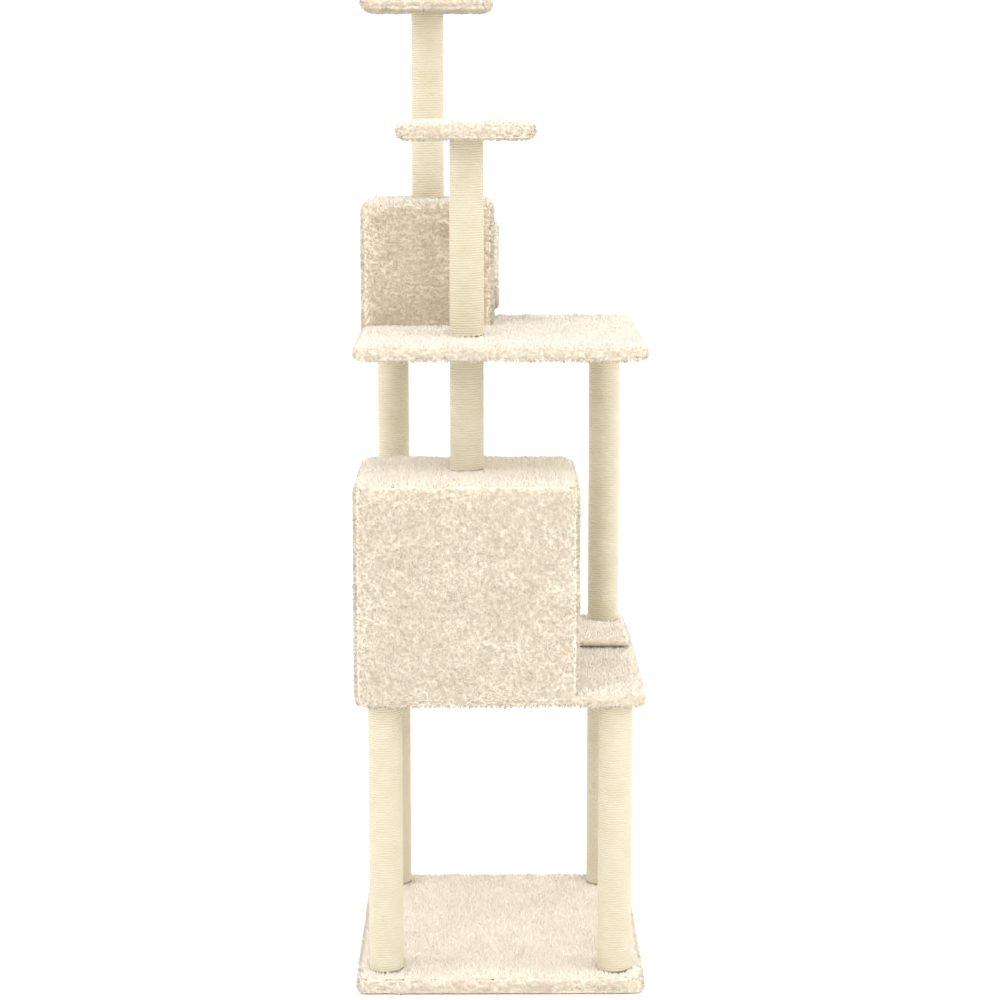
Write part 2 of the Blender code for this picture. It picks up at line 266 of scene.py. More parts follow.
NAP_TONE = build_nap_tone()
FIBRE_BUMP = build_fibre_bump()
print("groups:", NAP_TONE.name, "and", FIBRE_BUMP.name)

# %% [markdown]
# ## The finishes
# The pile carries three values on its vertices. Tip runs from 0 at a tuft's root to 1 at its
# end, shade is one random number for each tuft, and the third is 1 on level tops. Those tops
# carry a painted highlight: the lamps light them less than the fronts, so they are coloured
# paler. The roots and the backing are coloured paler too, painted light that lifts the shade
# between the tufts, and a tan strand here and there breaks up the cream.

# %% Plush colours
CREAM = {
    "pale": (0.67, 0.595, 0.475, 1.0),
    "warm": (0.64, 0.56, 0.44, 1.0),
    # painted light: the roots are paler than the tips, to lift the shade between the tufts
    "root": (0.70, 0.62, 0.50, 1.0),
    "strand": (0.57, 0.48, 0.36, 1.0),
    # painted highlight: the colour of level tops, paler than the sides because the lamps reach them
    # less
    "painted_top_light": (0.91, 0.84, 0.725, 1.0),
}
# Painted shade: the upper house's front pile is coloured darker and browner, standing in for the
# shade that front sits in.
SHADED_FRONT_COLOURS = {
    "pale": (0.68, 0.57, 0.43, 1.0),
    "warm": (0.62, 0.50, 0.36, 1.0),
    "root": (0.68, 0.57, 0.43, 1.0),
    "strand": (0.50, 0.39, 0.27, 1.0),
    "painted_top_light": CREAM["painted_top_light"],
}
# Painted light: the backing is paler than the pile, to lift the shade in the gaps between the
# tufts.
LIGHTENED_BACKING = (0.82, 0.745, 0.615, 1.0)
FLEECE_PALE = (0.86, 0.79, 0.67, 1.0)
FLEECE_WARM = (0.78, 0.70, 0.56, 1.0)


# %% Pile and skin finishes
def object_coordinates(tree):
    return new_tree_node(tree, "ShaderNodeTexCoord").outputs["Object"]


def scaled_attribute(tree, name, low, high):
    """A vertex value that runs from 0 to 1, stretched to run from low to high."""
    value = new_tree_node(tree, "ShaderNodeAttribute", attribute_name=name)
    stretch = new_tree_node(tree, "ShaderNodeMapRange")
    stretch.inputs["To Min"].default_value = low
    stretch.inputs["To Max"].default_value = high
    tree.links.new(value.outputs["Fac"], stretch.inputs["Value"])
    return stretch.outputs[0]


def build_pile_finish(name, colours):
    material, tree, shader = new_finish(name, roughness=0.95, sheen=0.1)
    tone = place_group(tree, NAP_TONE, Pale=colours["pale"], Warm=colours["warm"])
    tree.links.new(object_coordinates(tree), tone.inputs["Vector"])
    tip = scaled_attribute(tree, "tip", 0.1, 1.0)
    strand = scaled_attribute(tree, "shade", -0.1, 0.20)
    painted_top_light = scaled_attribute(tree, "painted_top_light", 0.0, 1.0)
    # painted light: towards its root a tuft is mixed with the paler root colour
    rooted = mix_colours(tree, tip, colours["root"], tone.outputs["Color"])
    varied = mix_colours(tree, strand, rooted, colours["strand"])
    # painted highlight: level tops are mixed towards the paler top colour
    top_lit = mix_colours(tree, painted_top_light, varied, colours["painted_top_light"])
    tree.links.new(top_lit, shader.inputs["Base Color"])
    return material


def build_cloth_finish(name, pale, warm, scale=400.0, height=0.001, sheen=0.3):
    """Skins, linings and rims: close cloth under or beside the pile."""
    material, tree, shader = new_finish(name, roughness=0.95, sheen=sheen)
    coordinates = object_coordinates(tree)
    tone = place_group(tree, NAP_TONE, Pale=pale, Warm=warm)
    bump = place_group(tree, FIBRE_BUMP, Scale=scale, Height=height)
    for group in (tone, bump):
        tree.links.new(coordinates, group.inputs["Vector"])
    tree.links.new(tone.outputs["Color"], shader.inputs["Base Color"])
    tree.links.new(bump.outputs["Normal"], shader.inputs["Normal"])
    return material


PILE_FINISH = build_pile_finish("cream_pile", CREAM)
# painted shade for the upper house's front
SHADED_PILE = build_pile_finish("painted_shade_pile", SHADED_FRONT_COLOURS)
SKIN_FINISH = build_cloth_finish("lightened_backing", LIGHTENED_BACKING, CREAM["root"], sheen=0.1)
LINING_FINISH = build_cloth_finish("fleece_lining", FLEECE_PALE, FLEECE_WARM, scale=700.0)

# %% [markdown]
# ## Sisal, wood, card and steel
# The rope's pattern follows the rope, so it reads a UV map: u is metres along the rope and v
# goes once round it. Three strands are laid in a twist, with painted shade in the grooves
# between them, and loose fibres run along them.

# %% Rope finish
ROPE_LAY = 0.014  # length of rope in which a strand goes once round
ROPE_STRANDS = 3
SISAL_PALE = (0.56, 0.515, 0.395, 1.0)
SISAL_DARK = (0.52, 0.465, 0.335, 1.0)


def build_rope_finish():
    material, tree, shader = new_finish("natural_sisal_rope", roughness=0.8, sheen=0.15)
    where = new_tree_node(tree, "ShaderNodeUVMap", uv_map="Rope")
    split = new_tree_node(tree, "ShaderNodeSeparateXYZ")
    along = new_tree_node(tree, "ShaderNodeMath", operation="MULTIPLY")
    along.inputs[1].default_value = math.tau * ROPE_STRANDS / ROPE_LAY
    around = new_tree_node(tree, "ShaderNodeMath", operation="MULTIPLY_ADD")
    around.inputs[1].default_value = math.tau * ROPE_STRANDS
    wave = new_tree_node(tree, "ShaderNodeMath", operation="SINE")
    crest = new_tree_node(tree, "ShaderNodeMapRange")
    crest.inputs["From Min"].default_value = -1.0
    tree.links.new(where.outputs["UV"], split.inputs[0])
    tree.links.new(split.outputs["X"], along.inputs[0])
    tree.links.new(split.outputs["Y"], around.inputs[0])
    tree.links.new(along.outputs[0], around.inputs[2])
    tree.links.new(around.outputs[0], wave.inputs[0])
    tree.links.new(wave.outputs[0], crest.inputs["Value"])
    coordinates = object_coordinates(tree)
    tone = place_group(
        tree, NAP_TONE, Pale=SISAL_PALE, Warm=SISAL_DARK, Patch_Scale=22.0, Speck_Scale=500.0
    )
    tree.links.new(coordinates, tone.inputs["Vector"])
    # Painted shade: the grooves between the strands are mixed up to a fifth of the way to the dark
    # sisal.
    groove_shade = new_tree_node(tree, "ShaderNodeMapRange")
    groove_shade.inputs["To Min"].default_value = 0.20
    groove_shade.inputs["To Max"].default_value = 0.0
    tree.links.new(crest.outputs[0], groove_shade.inputs["Value"])
    coloured = mix_colours(tree, groove_shade.outputs[0], tone.outputs["Color"], SISAL_DARK)
    tree.links.new(coloured, shader.inputs["Base Color"])
    fibres = place_group(tree, FIBRE_BUMP, Scale=900.0, Height=0.0006)
    tree.links.new(coordinates, fibres.inputs["Vector"])
    bump = new_tree_node(tree, "ShaderNodeBump")
    bump.inputs["Strength"].default_value = 0.4
    bump.inputs["Distance"].default_value = 0.0006
    tree.links.new(crest.outputs[0], bump.inputs["Height"])
    tree.links.new(fibres.outputs["Normal"], bump.inputs["Normal"])
    tree.links.new(bump.outputs["Normal"], shader.inputs["Normal"])
    return material


ROPE_FINISH = build_rope_finish()


# %% Board, card and steel finishes
CHIP_PALE, CHIP_DARK = (0.66, 0.50, 0.32, 1.0), (0.42, 0.29, 0.16, 1.0)
WOOD_DUST = (0.60, 0.46, 0.31, 1.0)
KRAFT_DARK, KRAFT_PALE = (0.40, 0.28, 0.17, 1.0), (0.50, 0.37, 0.24, 1.0)
ZINC_DULL, ZINC_BRIGHT = (0.60, 0.61, 0.62, 1.0), (0.74, 0.75, 0.75, 1.0)


def build_board_finish():
    """Particle board: pressed chips of many tones."""
    material, tree, shader = new_finish("particle_board", roughness=0.75)
    chips = new_tree_node(tree, "ShaderNodeTexVoronoi")
    chips.inputs["Scale"].default_value = 320.0
    dust = new_tree_node(tree, "ShaderNodeTexNoise")
    dust.inputs["Scale"].default_value = 90.0
    coordinates = object_coordinates(tree)
    for texture in (chips, dust):
        tree.links.new(coordinates, texture.inputs["Vector"])
    tones = mix_colours(tree, chips.outputs["Color"], CHIP_PALE, CHIP_DARK)
    dusty = mix_colours(tree, dust.outputs["Fac"], tones, WOOD_DUST)
    tree.links.new(dusty, shader.inputs["Base Color"])
    bump = new_tree_node(tree, "ShaderNodeBump")
    bump.inputs["Distance"].default_value = 0.0003
    tree.links.new(chips.outputs["Distance"], bump.inputs["Height"])
    tree.links.new(bump.outputs["Normal"], shader.inputs["Normal"])
    return material


def build_card_finish():
    """Kraft card, spirally wound, with a faint seam every few centimetres."""
    material, tree, shader = new_finish("kraft_card", roughness=0.85)
    coordinates = object_coordinates(tree)
    bands = new_tree_node(tree, "ShaderNodeTexWave", bands_direction="Z")
    bands.inputs["Scale"].default_value = 4.0
    bands.inputs["Distortion"].default_value = 0.4
    tree.links.new(coordinates, bands.inputs["Vector"])
    tones = mix_colours(tree, bands.outputs["Fac"], KRAFT_DARK, KRAFT_PALE)
    tree.links.new(tones, shader.inputs["Base Color"])
    fibres = place_group(tree, FIBRE_BUMP, Scale=300.0, Height=0.0003)
    tree.links.new(coordinates, fibres.inputs["Vector"])
    tree.links.new(fibres.outputs["Normal"], shader.inputs["Normal"])
    return material


def build_steel_finish():
    """Zinc plate: a dull sparkle and uneven gloss."""
    material, tree, shader = new_finish("zinc_plate", roughness=0.35, metallic=1.0)
    coordinates = object_coordinates(tree)
    spangle = new_tree_node(tree, "ShaderNodeTexVoronoi")
    spangle.inputs["Scale"].default_value = 600.0
    tree.links.new(coordinates, spangle.inputs["Vector"])
    tones = mix_colours(tree, spangle.outputs["Color"], ZINC_DULL, ZINC_BRIGHT)
    tree.links.new(tones, shader.inputs["Base Color"])
    gloss = new_tree_node(tree, "ShaderNodeMapRange")
    gloss.inputs["To Min"].default_value = 0.28
    gloss.inputs["To Max"].default_value = 0.48
    tree.links.new(spangle.outputs["Distance"], gloss.inputs["Value"])
    tree.links.new(gloss.outputs[0], shader.inputs["Roughness"])
    return material


NODE_FINISHES = {
    ("_board", "_panel"): build_board_finish(),
    ("_core",): build_card_finish(),
    ("bolt", "stud"): build_steel_finish(),
}

# %% [markdown]
# ## Dressing the engineered parts
# The boards, panels, tubes, bolts and studs keep their shapes. Only their slots change.

# %% Give each kept node its finish
dressed = 0
for node_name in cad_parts:
    for marks, finish in NODE_FINISHES.items():
        if any(mark in node_name for mark in marks):
            dressed += 1
            for slot in bpy.data.objects[node_name].material_slots:
                slot.material = finish
print("dressed", dressed, "nodes")

# %% [markdown]
# ## Plush skins
# Under the pile lies a backing cloth pulled round the board. On a real tree its edges are
# fat and soft and its faces swell a little, so a rounded block is remeshed into even
# quads, smoothed, and pushed in and out by a slow cloud pattern.

# %% Skin maker
SKIN_CELL = 0.0085
SKIN_DEPTH = 0.0056  # how far the backing lies inside the engineered cover
SLAB_ROUNDING = 0.013
LUMP = 0.0030  # from the deepest dip to the highest swell
LUMPS = bpy.data.textures.new("Plush lumps", "CLOUDS")
LUMPS.noise_scale = 0.055


def soften(piece, lump=LUMP, cell=SKIN_CELL, passes=3):
    """Turns a hard block into a padded one: even quads, smoothed, with slow swells."""
    apply_modifier(piece, "REMESH", mode="VOXEL", voxel_size=cell, use_smooth_shade=True)
    apply_modifier(piece, "SMOOTH", factor=0.5, iterations=passes)
    apply_modifier(
        piece, "DISPLACE", texture=LUMPS, texture_coords="LOCAL", strength=lump, mid_level=0.5
    )


def finish_piece(piece, material, node=None):
    """Gives a piece its material, body and slot, and hides the node that it stands for."""
    piece.data.materials.clear()
    piece.data.materials.append(material)
    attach(piece, BODY)
    if node:
        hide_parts(node)


def slab_skin(name, radius=SLAB_ROUNDING, depth=SKIN_DEPTH, **softness):
    """The backing cloth round one board, a little inside the cover's outer size."""
    low, high = corners_of(f"{name}_cover")
    skin = add_block(f"plush_{name}", low + evenly(depth), high - evenly(depth))
    round_every_edge(skin, radius)
    soften(skin, **softness)
    finish_piece(skin, SKIN_FINISH, f"{name}_cover")
    print(skin.name, triangles(skin), "triangles")
    return skin


# The step's cover is thin and close, so its backing is finer and nearly its full size.
STEP_SKIN = {"radius": 0.004, "depth": 0.0016, "lump": 0.0008, "cell": 0.0052, "passes": 1}
SLABS = {name: slab_skin(name) for name in ("lower_platform", "mid_platform", "perch", "top_perch")}
SLABS["step"] = slab_skin("step", **STEP_SKIN)


# %% Base skin, open below
CUT_MARGIN = 0.1  # how far a cutting block reaches past the piece it cuts
HEM_HEIGHT = 0.001  # gap between the base's cover and the floor


def base_skin():
    """The base's cover stops level with the floor, round the bare board."""
    low, high = corners_of("base_cover")
    board_low, board_high = corners_of("base_board")
    below = Vector((0.0, 0.0, 0.05))
    skin = add_block("plush_base", low + evenly(SKIN_DEPTH) - below, high - evenly(SKIN_DEPTH))
    round_every_edge(skin, SLAB_ROUNDING)
    soften(skin)
    subtract(skin, add_block("room_for_board", board_low - below * 2, board_high))
    margin = Vector((CUT_MARGIN, CUT_MARGIN, 0.0))
    cut_high = Vector((high.x, high.y, low.z + HEM_HEIGHT))
    subtract(skin, add_block("floor_cut", low - margin - below * 3, cut_high + margin))
    finish_piece(skin, SKIN_FINISH, "base_cover")
    print(skin.name, triangles(skin), "triangles")
    return skin


SLABS["base"] = base_skin()

# %% [markdown]
# ## House covers
# A house is a plush box with nothing under it and a round mouth in its right side. The
# whole block is softened first, because a thin shell would tear when it is remeshed. Then
# it is hollowed with a smaller block and the mouth is cut with a rod. A fleece lining
# covers the panels that show through the mouth.

# %% House sizes
HOUSE_ROUNDING = 0.015
HOUSE_DEPTH_BELOW = 0.06  # extra length of the block, cut off again at its foot
TUCK = 0.020  # how far a house's cover laps down over its platform's edge
SLACK = 0.0005
STANDS_ON = {"lower_house": "lower_platform_board", "upper_house": "mid_platform_board"}


def doorway(house):
    """Centre and outer radius of a house's doorway rim."""
    low, high = corners_of(f"{house}_doorway_rim")
    return (low + high) / 2, (high.z - low.z) / 2


def panel_box(house):
    """The outside of a house's five panels."""
    sides = ("left", "right", "front", "back", "roof")
    boxes = [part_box(f"{house}_{side}_panel") for side in sides]
    low = Vector(min(box[0][axis] for box in boxes) for axis in range(3))
    high = Vector(max(box[1][axis] for box in boxes) for axis in range(3))
    return low, high


for house in STANDS_ON:
    print(house, "doorway:", round(doorway(house)[1] * 2000), "mm across its rim")

# %% House skins
ALONG_X = (0.0, math.pi / 2, 0.0)  # turns an upright rod to lie along X
MOUTH_LIP = 0.006  # how far the backing reaches in under the rim
MOUTH_DEPTH = 0.08


def house_skin(house):
    """A soft rounded block, hollowed for the panels, with its foot and its mouth cut."""
    node = f"{house}_cover"
    low, high = corners_of(node)
    below = Vector((0.0, 0.0, HOUSE_DEPTH_BELOW))
    skin = add_block(f"plush_{house}", low + evenly(SKIN_DEPTH) - below, high - evenly(SKIN_DEPTH))
    round_every_edge(skin, HOUSE_ROUNDING)
    soften(skin)
    panels_low, panels_high = panel_box(house)
    subtract(skin, add_block("hollow", panels_low - below * 2, panels_high))
    margin = Vector((CUT_MARGIN, CUT_MARGIN, 0.0))
    foot_high = Vector((high.x, high.y, low.z - TUCK))
    foot_low = Vector((low.x, low.y, foot_high.z - 2 * CUT_MARGIN))
    subtract(skin, add_block("foot", foot_low - margin, foot_high + margin))
    board_low, board_high = corners_of(STANDS_ON[house])
    room_low, room_high = board_low - evenly(SLACK) - below, board_high + evenly(SLACK)
    subtract(skin, add_block("room_for_board", room_low, room_high))
    centre, outer = doorway(house)
    mouth_at = Vector((high.x, centre.y, centre.z))
    subtract(skin, add_rod("mouth", mouth_at, outer - MOUTH_LIP, MOUTH_DEPTH, ALONG_X))
    finish_piece(skin, SKIN_FINISH, node)
    print(skin.name, triangles(skin), "triangles")
    return skin


HOUSES = {house: house_skin(house) for house in ("lower_house", "upper_house")}


# %% House linings
LINING = 0.0016
LINING_GAP = 0.0008  # between the fleece and the panels
LINING_ROUNDING = 0.012
OPEN_BELOW = 0.02
RIM_WIDTH = 0.017  # the doorway's rim, from its outside to the hole in the lining
BOLT_HOLE = 0.0135
HOLE_DEPTH = 0.04


def house_lining(house):
    """Thin fleece on the inside of the panels, with a round hole at the doorway."""
    left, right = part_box(f"{house}_left_panel")[1][0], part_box(f"{house}_right_panel")[0][0]
    front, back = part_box(f"{house}_front_panel")[1][1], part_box(f"{house}_back_panel")[0][1]
    floor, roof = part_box(f"{house}_cover")[0][2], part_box(f"{house}_roof_panel")[0][2]
    low = Vector((left + LINING_GAP, front + LINING_GAP, floor))
    high = Vector((right - LINING_GAP, back - LINING_GAP, roof - LINING_GAP))
    lining = add_block(f"lining_{house}", low, high)
    inside_low = low + Vector((LINING, LINING, -OPEN_BELOW))
    inside = add_block("inside", inside_low, high - evenly(LINING))
    round_every_edge(inside, LINING_ROUNDING)
    subtract(lining, inside)
    centre, outer = doorway(house)
    hole_at = Vector((high.x, centre.y, centre.z))
    subtract(lining, add_rod("hole", hole_at, outer - RIM_WIDTH, HOLE_DEPTH, ALONG_X))
    bolt_low, bolt_high = corners_of(f"{house}_roof_bolt")
    bolt_at = (bolt_low + bolt_high) / 2
    bolt_at.z = high.z
    subtract(lining, add_rod("bolt_hole", bolt_at, BOLT_HOLE, HOLE_DEPTH))
    finish_piece(lining, LINING_FINISH)
    print(lining.name, triangles(lining), "triangles")


for house in HOUSES:
    house_lining(house)

# %% [markdown]
# ## Doorway rims
# Each mouth is bound with a padded roll. The engineered rim already has the right section,
# so a copy is merged, subdivided and softened rather than built again.


# %% Padded rims
RIM_BULGE = {"lower_house": 0.45, "upper_house": 1.0}  # share of the roll left outside the panel
RIM_LUMP = 0.0012


def sink_rim(rim, panel_face, share):
    """Presses the part of a roll that stands outside the panel down towards it."""
    for vertex in rim.data.vertices:
        if vertex.co.x > panel_face:
            vertex.co.x = panel_face + (vertex.co.x - panel_face) * share


def padded_rim(house):
    node = f"{house}_doorway_rim"
    source = bpy.data.objects[node]
    rim = bpy.data.objects.new(f"rim_{house}", source.data.copy())
    bpy.context.scene.collection.objects.link(rim)
    settle(rim, f"rim_{house}")
    merge = (bpy.ops.mesh.remove_doubles, {"threshold": SAME_PLACE})
    edit_whole(rim, merge, (bpy.ops.mesh.tris_convert_to_quads, {}))
    sink_rim(rim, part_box(f"{house}_right_panel")[1][0], RIM_BULGE[house])
    apply_modifier(rim, "SUBSURF", levels=2, render_levels=2)
    apply_modifier(
        rim, "DISPLACE", texture=LUMPS, texture_coords="LOCAL", strength=RIM_LUMP, mid_level=0.5
    )
    bpy.ops.object.shade_smooth()
    finish_piece(rim, LINING_FINISH, node)
    print(rim.name, triangles(rim), "triangles")
    return rim


RIMS = {house: padded_rim(house) for house in HOUSES}

# %% [markdown]
# ## The pile
# Deep plush is thousands of short curly tufts. Modelling them by hand is out of reach, so
# they are planted by arithmetic: points are spread evenly over the skin, and at each one
# stands a small closed tuft, either a straight thorn or a curl with a bend in it. Their
# lean follows a slow swirl, which is what makes brushed plush look streaky and alive.

# %% Planting points
PILE_DENSITY = 84000.0  # tufts on a square metre
CREASE_EXTRA = 2.2  # more of them round the corners, where the tips fan out


def mesh_arrays(piece):
    """Corners of the piece's triangles, and its vertices' places and normals."""
    mesh = piece.data
    mesh.calc_loop_triangles()
    corners = np.empty(len(mesh.loop_triangles) * 3, np.int32)
    mesh.loop_triangles.foreach_get("vertices", corners)
    places = np.empty(len(mesh.vertices) * 3, np.float32)
    mesh.vertices.foreach_get("co", places)
    normals = np.empty(len(mesh.vertices) * 3, np.float32)
    mesh.vertices.foreach_get("normal", normals)
    return corners.reshape(-1, 3), places.reshape(-1, 3), normals.reshape(-1, 3)


def planting_points(piece, density, rng):
    """Points spread evenly over the piece's surface, with the surface's normals there."""
    corners, places, normals = mesh_arrays(piece)
    a, b, c = (places[corners[:, i]].astype(np.float64) for i in range(3))
    across = np.cross(b - a, c - a)
    doubled = np.linalg.norm(across, axis=1)
    crease = 1 - np.abs(across / doubled[:, None]).max(axis=1)
    room = doubled / 2 * (1 + CREASE_EXTRA * crease)
    count = int(room.sum() * density)
    steps = (np.arange(count) + rng.random(count)) / count * room.sum()
    face = np.searchsorted(np.cumsum(room), steps).clip(0, len(room) - 1)
    u, v = rng.random(count), rng.random(count)
    over = u + v > 1
    u[over], v[over] = 1 - u[over], 1 - v[over]
    weights = np.stack([1 - u - v, u, v], axis=1)
    picked = corners[face]
    points = sum(weights[:, i : i + 1] * places[picked[:, i]] for i in range(3))
    facing = sum(weights[:, i : i + 1] * normals[picked[:, i]] for i in range(3))
    facing /= np.linalg.norm(facing, axis=1, keepdims=True)
    return points, facing


# %% Lean of the nap
SWIRL_COUNT = 7  # slow waves that add up to the swirl
SWIRL_TIGHTNESS = 32.0
SWIRL_TURN = 1.3  # radians that one wave turns the nap by
NAP_UNREST = 1.5  # radians by which a tuft strays from the swirl
SWIRLS = np.random.default_rng(11).normal(size=(SWIRL_COUNT, 3)) * SWIRL_TIGHTNESS
SWIRL_PHASE = np.random.default_rng(12).random(SWIRL_COUNT) * math.tau


def nap_direction(points, normals, rng):
    """Two unit vectors along the surface at each point: the way the nap lies, and across it."""
    angle = np.sin(points @ SWIRLS.T + SWIRL_PHASE).sum(axis=1) * SWIRL_TURN
    angle += rng.normal(size=len(points)) * NAP_UNREST
    upright = np.abs(normals[:, 2:3]) < 0.8
    helper = np.where(upright, (0.0, 0.0, 1.0), (1.0, 0.0, 0.0))
    first = np.cross(helper, normals)
    first /= np.linalg.norm(first, axis=1, keepdims=True)
    second = np.cross(normals, first)
    along = first * np.cos(angle)[:, None] + second * np.sin(angle)[:, None]
    return along, np.cross(normals, along)


# %% Shape of a tuft
PILE_LENGTH = 0.0088
PILE_WIDTH = 0.0030
LEAN = (14, 56)  # degrees, from the straightest tuft to the flattest
ROOT_SINK = 0.0015  # how far a tuft starts inside the backing
KNEE_TAPER = 0.8
CURL_SPREAD = 0.35  # sideways bend of a curl's upper half


def ring(centre, along, across, radius):
    """Three points round a centre, in the plane of along and across."""
    turns = (0.0, math.tau / 3, 2 * math.tau / 3)
    return [centre + (along * math.cos(t) + across * math.sin(t)) * radius for t in turns]


def tuft_vertices(points, normals, rng, length, width):
    """Root ring, middle ring and tip of every tuft, as arrays of one row for each tuft."""
    along, across = nap_direction(points, normals, rng)
    count = len(points)
    reach = (length * (0.75 + 0.5 * rng.random(count)))[:, None]
    lean = np.radians(rng.uniform(*LEAN, count))[:, None]
    radius = (width / 2 * (0.7 + 0.6 * rng.random(count)))[:, None]
    root = points - normals * ROOT_SINK
    knee = points + (normals * np.cos(lean * 0.5) + along * np.sin(lean * 0.5)) * reach * 0.5
    bend = (across * rng.normal(size=(count, 1)) * CURL_SPREAD + along) * np.sin(lean * 1.5)
    tip = knee + (normals * np.cos(lean * 1.5) + bend) * reach * 0.5
    root_ring = ring(root, along, across, radius)
    knee_ring = ring(knee, along, across, radius * KNEE_TAPER)
    return root_ring, knee_ring, tip


# %% Tuft mesh
CURL_FACES = np.array(
    [(0, 2, 1), (0, 1, 4), (0, 4, 3), (1, 2, 5), (1, 5, 4), (2, 0, 3), (2, 3, 5)]
    + [(3, 4, 6), (4, 5, 6), (5, 3, 6)]
)
CURL_HEIGHTS = (0, 0, 0, 0.5, 0.5, 0.5, 1)
THORN_FACES = np.array([(0, 2, 1), (0, 1, 3), (1, 2, 3), (2, 0, 3)])
THORN_HEIGHTS = (0, 0, 0, 1)


print("a curl has", len(CURL_FACES), "faces, a thorn", len(THORN_FACES))


def stack_tufts(rows, faces):
    """Joins the vertex arrays of equal tufts and numbers their faces."""
    count, size = len(rows[0]), len(rows)
    vertices = np.stack(rows, axis=1).reshape(-1, 3)
    numbered = faces[None] + (np.arange(count) * size)[:, None, None]
    return vertices, numbered.reshape(-1, 3)


def mesh_from_arrays(name, vertices, faces):
    mesh = bpy.data.meshes.new(name)
    mesh.vertices.add(len(vertices))
    mesh.vertices.foreach_set("co", vertices.astype(np.float32).ravel())
    mesh.loops.add(faces.size)
    mesh.loops.foreach_set("vertex_index", faces.astype(np.int32).ravel())
    mesh.polygons.add(len(faces))
    mesh.polygons.foreach_set("loop_start", np.arange(len(faces), dtype=np.int32) * 3)
    mesh.update(calc_edges=True)
    return mesh


def set_attribute(mesh, name, values):
    attribute = mesh.attributes.new(name, "FLOAT", "POINT")
    attribute.data.foreach_set("value", values.astype(np.float32))


# %% Softened shading
SIDE_SOFTNESS = 0.72  # share of the skin's own normal in a tuft's shading, on upright faces
TOP_SOFTNESS = 0.46  # and on level tops, which are mostly seen from low down


def soften_normals(mesh, skin_normals):
    """Turns the tufts' normals towards the skin's, so that the plush shades as one soft mass."""
    mesh.shade_smooth()
    own = np.empty(len(mesh.vertices) * 3, np.float32)
    mesh.vertices.foreach_get("normal", own)
    softness = SIDE_SOFTNESS + (TOP_SOFTNESS - SIDE_SOFTNESS) * skin_normals[:, 2:].clip(0, 1)
    mixed = own.reshape(-1, 3) * (1 - softness) + skin_normals * softness
    mixed /= np.linalg.norm(mixed, axis=1, keepdims=True)
    mesh.normals_split_custom_set_from_vertices(mixed.tolist())


# %% Plant the pile
CURL_SHARE = 0.34
TUFTS_IN_A_PIECE = 29000
FLOOR_CLEARANCE = 0.0005


def plant_pile(name, points, normals, rng, material, length=PILE_LENGTH, width=PILE_WIDTH):
    """Makes one mesh of tufts, one at each point, with what its finish reads from it."""
    root, knee, tip = tuft_vertices(points, normals, rng, length, width)
    curly = rng.random(len(points)) < CURL_SHARE
    shade = rng.random(len(points))
    curls, curl_faces = stack_tufts([row[curly] for row in (*root, *knee, tip)], CURL_FACES)
    thorns, thorn_faces = stack_tufts([row[~curly] for row in (*root, tip)], THORN_FACES)
    vertices = np.concatenate([curls, thorns])
    vertices[:, 2] = vertices[:, 2].clip(FLOOR_CLEARANCE, None)
    faces = np.concatenate([curl_faces, thorn_faces + len(curls)])
    mesh = mesh_from_arrays(name, vertices, faces)

    def on_vertices(value):
        """Repeats a value of each tuft on all its vertices, curls first."""
        on_curls = np.repeat(value[curly], len(CURL_HEIGHTS), axis=0)
        return np.concatenate([on_curls, np.repeat(value[~curly], len(THORN_HEIGHTS), axis=0)])

    heights = [np.tile(CURL_HEIGHTS, curly.sum()), np.tile(THORN_HEIGHTS, (~curly).sum())]
    set_attribute(mesh, "tip", np.concatenate(heights))
    set_attribute(mesh, "shade", on_vertices(shade))
    # this value marks level tops for their painted highlight
    set_attribute(mesh, "painted_top_light", on_vertices(normals[:, 2].clip(0, 1) ** 2))
    pile = bpy.data.objects.new(name, mesh)
    bpy.context.scene.collection.objects.link(pile)
    soften_normals(mesh, on_vertices(normals))
    finish_piece(pile, material)
    print(name, len(points), "tufts,", len(faces), "triangles")


def plant_in_strips(name, points, normals, rng, *look):
    """Plants a wide field in strips side by side, each small enough for one mesh."""
    strips = math.ceil(len(points) / TUFTS_IN_A_PIECE)
    order = np.argsort(points[:, 0], kind="stable")
    for number, chosen in enumerate(np.array_split(order, strips)):
        label = name if strips == 1 else f"{name}_{number + 1}"
        plant_pile(label, points[chosen], normals[chosen], rng, *look)


# %% [markdown]
# ## Where no pile grows
# Posts press the plush flat, houses and the step cover it, and the insides of the houses
# are lined instead. These places are worked out from the frame's own boxes.

# %% Clear places
POSTS = sorted(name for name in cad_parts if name.endswith("_sisal"))
PRESSED = 0.012  # how far past a post's end the pile is pressed away
WALL = 0.024  # a house's wall, with its cover
WALL_LAP = 0.004  # how far the floor's pile runs in under that wall
WALL_FOOT = 0.02  # how near its foot a point has to be to lie under it
INNER_GAP = 0.0012  # how near its board or panels the inner side of a cover lies
print(len(POSTS), "wound posts")


def in_box(points, low, high, margin=0.0):
    low, high = np.array(low) - margin, np.array(high) + margin
    return np.all((points > low) & (points < high), axis=1)


def under_posts(points):
    """True for points inside a post or just past its ends."""
    hidden = np.zeros(len(points), bool)
    height = points[:, 2]
    for post in POSTS:
        low, high = (np.array(corner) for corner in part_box(post))
        centre, radius = (low + high)[:2] / 2, (high[0] - low[0]) / 2
        near = np.linalg.norm(points[:, :2] - centre, axis=1) < radius
        hidden |= near & (height > low[2] - PRESSED) & (height < high[2] + PRESSED)
    return hidden


